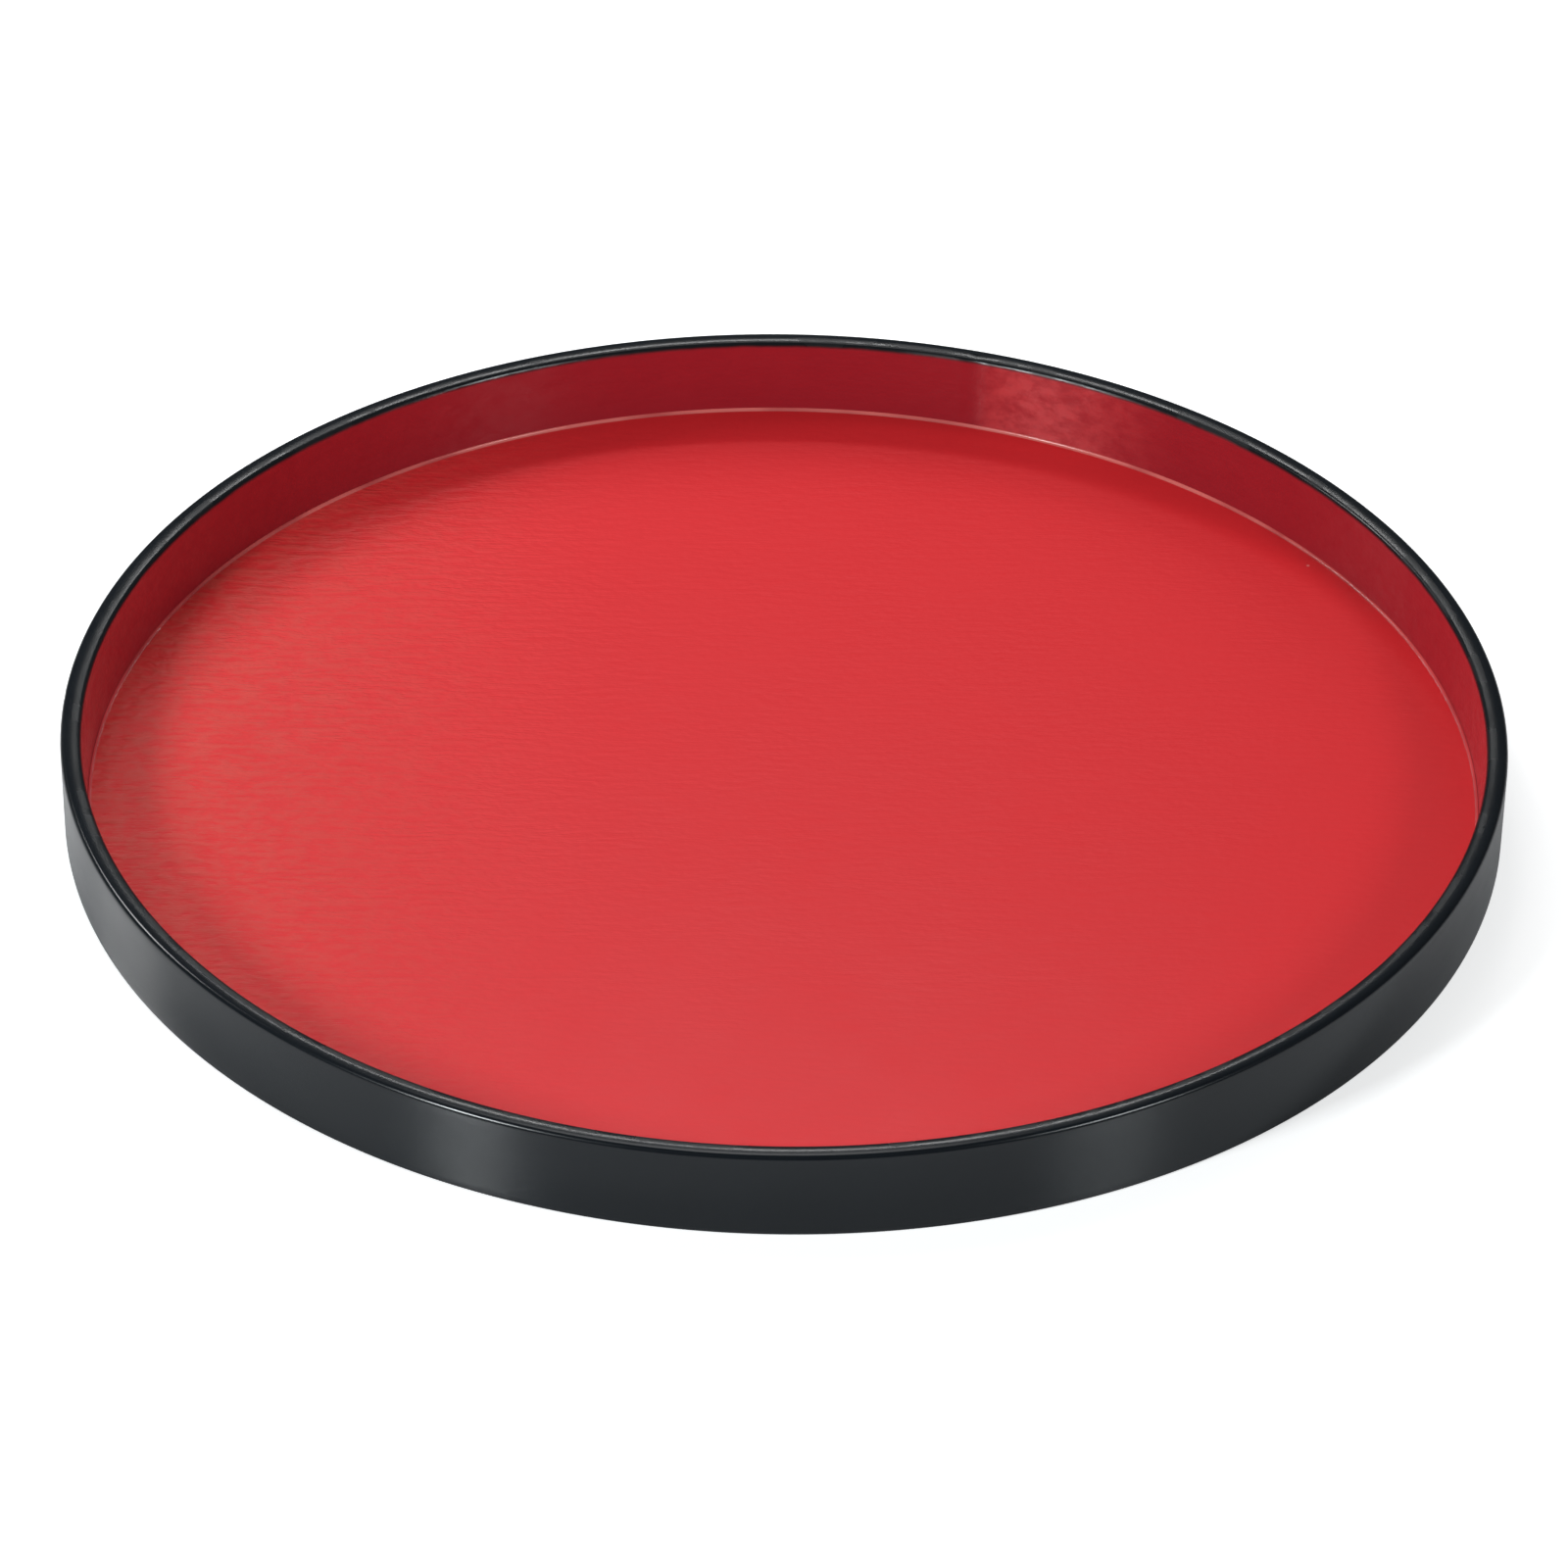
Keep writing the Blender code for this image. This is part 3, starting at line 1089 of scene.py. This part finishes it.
@dataclass
class Board:
    """The base board: floor veneer, core and backing veneer."""

    sizes: TraySizes
    columns: int = 360
    under_steps: int = 12
    edge_steps: int = 2
    over_steps: int = 24

    def sheet(self, name: str, radius: float, bottom: float, top: float) -> bpy.types.Mesh:
        """A round sheet: out along the underside, up the edge and back along the top.

        Args:
            name: the mesh's name.
            radius: the sheet's radius.
            bottom: the height of its underside.
            top: the height of its top.

        Returns:
            The sheet's mesh.
        """
        under = line((0.0, bottom), (radius, bottom), self.under_steps)
        edge = line((radius, bottom), (radius, top), self.edge_steps)
        over = line((radius, top), (0.0, top), self.over_steps)
        profile = np.concatenate([under, edge, over, [[0.0, top]]])
        turning = Turning(profile, Way.DISC, self.columns)
        return turning.mesh(name, *turning.surface())

    def build(self) -> list[Piece]:
        """Makes the three layers.

        Returns:
            The floor, the core and the backing.
        """
        sizes = self.sizes
        floor_radius = sizes.wall_foot_radius - sizes.corner_radius
        floor = self.sheet("floor", floor_radius, sizes.floor_bottom, sizes.floor_height)
        core = self.sheet("core", sizes.board_radius, sizes.core_bottom, sizes.core_top)
        backing = self.sheet("backing", sizes.board_radius, sizes.backing_bottom, sizes.backing_top)
        under = UndersideLacquer().material()
        return [
            Piece("floor", floor, FloorLacquer().material(), "floor_veneer", "floor_lacquer"),
            Piece("core", core, CoreWood().material(), "base_core_board", "core_wood"),
            Piece("backing", backing, under, "backing_veneer", "underside_lacquer"),
        ]


# ---------------------------------------------------------------- studio


def sphere_direction(azimuth: float, elevation: float) -> Vector:
    """The unit vector at that azimuth round from +X and that elevation, both in degrees."""
    a, e = math.radians(azimuth), math.radians(elevation)
    return Vector((math.cos(a) * math.cos(e), math.sin(a) * math.cos(e), math.sin(e)))


@dataclass(frozen=True)
class SoftBox:
    """A rectangular soft light that faces the tray."""

    name: str
    azimuth: float
    elevation: float
    distance: float
    width: float
    height: float
    radiance: float
    colour: Colour = WHITE
    mirrored: bool = True

    def place(self) -> bpy.types.Object:
        """Puts the light in the scene. Its power is pi times its area times its radiance.

        A light that is not mirrored lights the surfaces, but their gloss doesn't show it.

        Returns:
            The light's object.
        """
        light = bpy.data.lights.new(self.name, "AREA")
        light.shape = "RECTANGLE"
        light.size = self.width
        light.size_y = self.height
        light.energy = math.pi * self.width * self.height * self.radiance
        light.color = self.colour
        obj = bpy.data.objects.new(self.name, light)
        towards = sphere_direction(self.azimuth, self.elevation)
        obj.location = towards * self.distance
        obj.rotation_mode = "QUATERNION"
        obj.rotation_quaternion = towards.to_track_quat("Z", "Y")
        obj.visible_camera = False
        obj.visible_glossy = self.mirrored
        bpy.context.scene.collection.objects.link(obj)
        return obj


@dataclass
class Studio:
    """The table, the lights and the room's own light."""

    table_half: float = 9.0
    table_drop: float = 0.00002  # the table top is this far below the paper
    table_colour: Colour = (0.86, 0.86, 0.87)
    table_roughness: float = 0.15
    mottle_scale: float = 14.0
    mottle_roughness: float = 0.06
    paper_shades: Span = (0.86, 0.90)
    paper_roughness: float = 0.9
    paper_specular: float = 0.1
    fibre_scale: float = 900.0
    paper_glow: float = 0.57
    room: float = 0.06
    soft_boxes: tuple[SoftBox, ...] = (
        SoftBox("front_left_box", -136.0, 30.0, 1.3, 0.20, 0.28, 48.0, COOL_WHITE),
        SoftBox("front_right_box", -40.0, 31.0, 1.3, 0.26, 0.28, 17.0, COOL_WHITE),
        SoftBox("left_box", 150.0, 37.0, 1.15, 0.34, 0.22, 10.0),
        SoftBox("key_box", 109.0, 33.0, 1.15, 0.36, 0.50, 8.0, mirrored=False),
        SoftBox("wide_back_box", 62.0, 27.0, 1.60, 1.8, 0.7, 2.1, mirrored=False),
        SoftBox("back_box", 91.0, 43.0, 1.10, 0.36, 0.05, 20.0),
        SoftBox("overhead_box", 98.0, 70.0, 1.15, 0.40, 0.40, 2.2),
    )

    def plane(self, name: str, height: float) -> bpy.types.Object:
        """A square plane, as a 2 by 2 grid of corners.

        Args:
            name: the plane's name.
            height: its height above the standing plane.

        Returns:
            The plane's object.
        """
        side = self.table_half
        x, y = np.meshgrid([-side, side], [-side, side], indexing="ij")
        points = np.stack([x.ravel(), y.ravel(), np.full(4, height)], 1)
        mesh = bpy.data.meshes.new(name)
        mesh.from_pydata(points.tolist(), [], [[0, 2, 3, 1]])
        obj = bpy.data.objects.new(name, mesh)
        bpy.context.scene.collection.objects.link(obj)
        return obj

    def table(self) -> None:
        """The table top that the lights bounce off. The camera sees the paper on it instead."""
        top = self.plane("table_top", -self.table_drop)
        top.visible_camera = False
        top.data.materials.append(principled("table", self.table_inputs))

    def table_inputs(self, sheet: Sheet) -> Inputs:
        """Smooth white board with a slight unevenness in its gloss."""
        mottle = sheet.noise(sheet.place(), self.mottle_scale, detail=3.0)
        return {
            "Base Color": as_rgba(self.table_colour),
            "Roughness": self.table_roughness + mottle.swing(self.mottle_roughness),
        }

    def paper(self) -> None:
        """The white paper that the camera sees. It glows a little, so that shadows stay faint."""
        sheet_of_paper = self.plane("white_paper", 0.0)
        sheet_of_paper.visible_diffuse = False
        sheet_of_paper.visible_glossy = False
        sheet_of_paper.visible_transmission = False
        sheet_of_paper.visible_shadow = False
        sheet_of_paper.data.materials.append(principled("paper", self.paper_inputs))

    def paper_inputs(self, sheet: Sheet) -> Inputs:
        """Matt white with fibres too fine to see from a step away."""
        fibres = sheet.noise(sheet.place(), self.fibre_scale)
        return {
            "Base Color": sheet.shaded(fibres, WHITE, self.paper_shades),
            "Roughness": self.paper_roughness,
            "Specular IOR Level": self.paper_specular,
            "Emission Color": as_rgba(WHITE),
            "Emission Strength": self.paper_glow,
        }

    def world(self) -> None:
        """Even light from the room."""
        room = bpy.data.worlds.new("room")
        bpy.context.scene.world = room
        room.use_nodes = True
        sheet = Sheet(room.node_tree)
        glow = {"Color": as_rgba(WHITE), "Strength": self.room}
        sheet.finish("ShaderNodeOutputWorld", sheet.node("ShaderNodeBackground", None, glow).out())

    def build(self) -> None:
        """Everything round the tray, and plain colour reproduction."""
        self.table()
        self.paper()
        self.world()
        for box in self.soft_boxes:
            box.place()
        bpy.context.scene.view_settings.view_transform = "Standard"


@dataclass
class Viewpoint:
    """The camera: a long lens that looks down at the rim from the front.

    Angles are in degrees and the rest in metres, but the sensor's width is in millimetres.
    """

    aim: Vector
    distance: float = 2.8137
    elevation: float = 34.679
    roll: float = 0.8435
    field: float = 8.0
    drop: float = 0.01539
    slide: float = -0.00011
    sensor: float = 36.0
    nearest: float = 0.05
    farthest: float = 60.0

    def build(self) -> bpy.types.Object:
        """Makes the camera, which keeps the rim's middle a little above the frame's middle.

        Returns:
            The camera.
        """
        data = bpy.data.cameras.new("camera")
        data.sensor_width = self.sensor
        data.lens = self.sensor / 2.0 / math.tan(math.radians(self.field / 2.0))
        data.clip_start = self.nearest
        data.clip_end = self.farthest
        camera = bpy.data.objects.new("camera", data)
        place = self.aim + sphere_direction(-90.0, self.elevation) * self.distance
        upright = sphere_direction(90.0, 90.0 - self.elevation)
        target = self.aim - upright * self.drop - Vector((self.slide, 0.0, 0.0))
        turn = (place - target).to_track_quat("Z", "Y").to_matrix()
        rolled = turn @ Matrix.Rotation(math.radians(self.roll), 3, "Z")
        camera.matrix_world = Matrix.Translation(place) @ rolled.to_4x4()
        bpy.context.scene.collection.objects.link(camera)
        bpy.context.scene.camera = camera
        return camera


# ---------------------------------------------------------------- making


def corners(box: tuple[Vector, Vector]) -> list[list[float]]:
    """A box as plain lists."""
    return [list(box[0]), list(box[1])]


def main() -> None:
    """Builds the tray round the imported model, and the studio round the tray."""
    logging.basicConfig(level=logging.INFO, format="%(name)s: %(message)s")
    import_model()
    sizes = TraySizes.from_frame()
    for assembly in (Hoop(sizes), CornerBead(sizes), Board(sizes)):
        for piece in assembly.build():
            piece.place()
            LOG.info("%s: %d faces", piece.name, len(piece.mesh.polygons))
    Studio().build()
    Viewpoint(Vector((0.0, 0.0, sizes.height))).build()


if __name__ == "__main__":
    main()
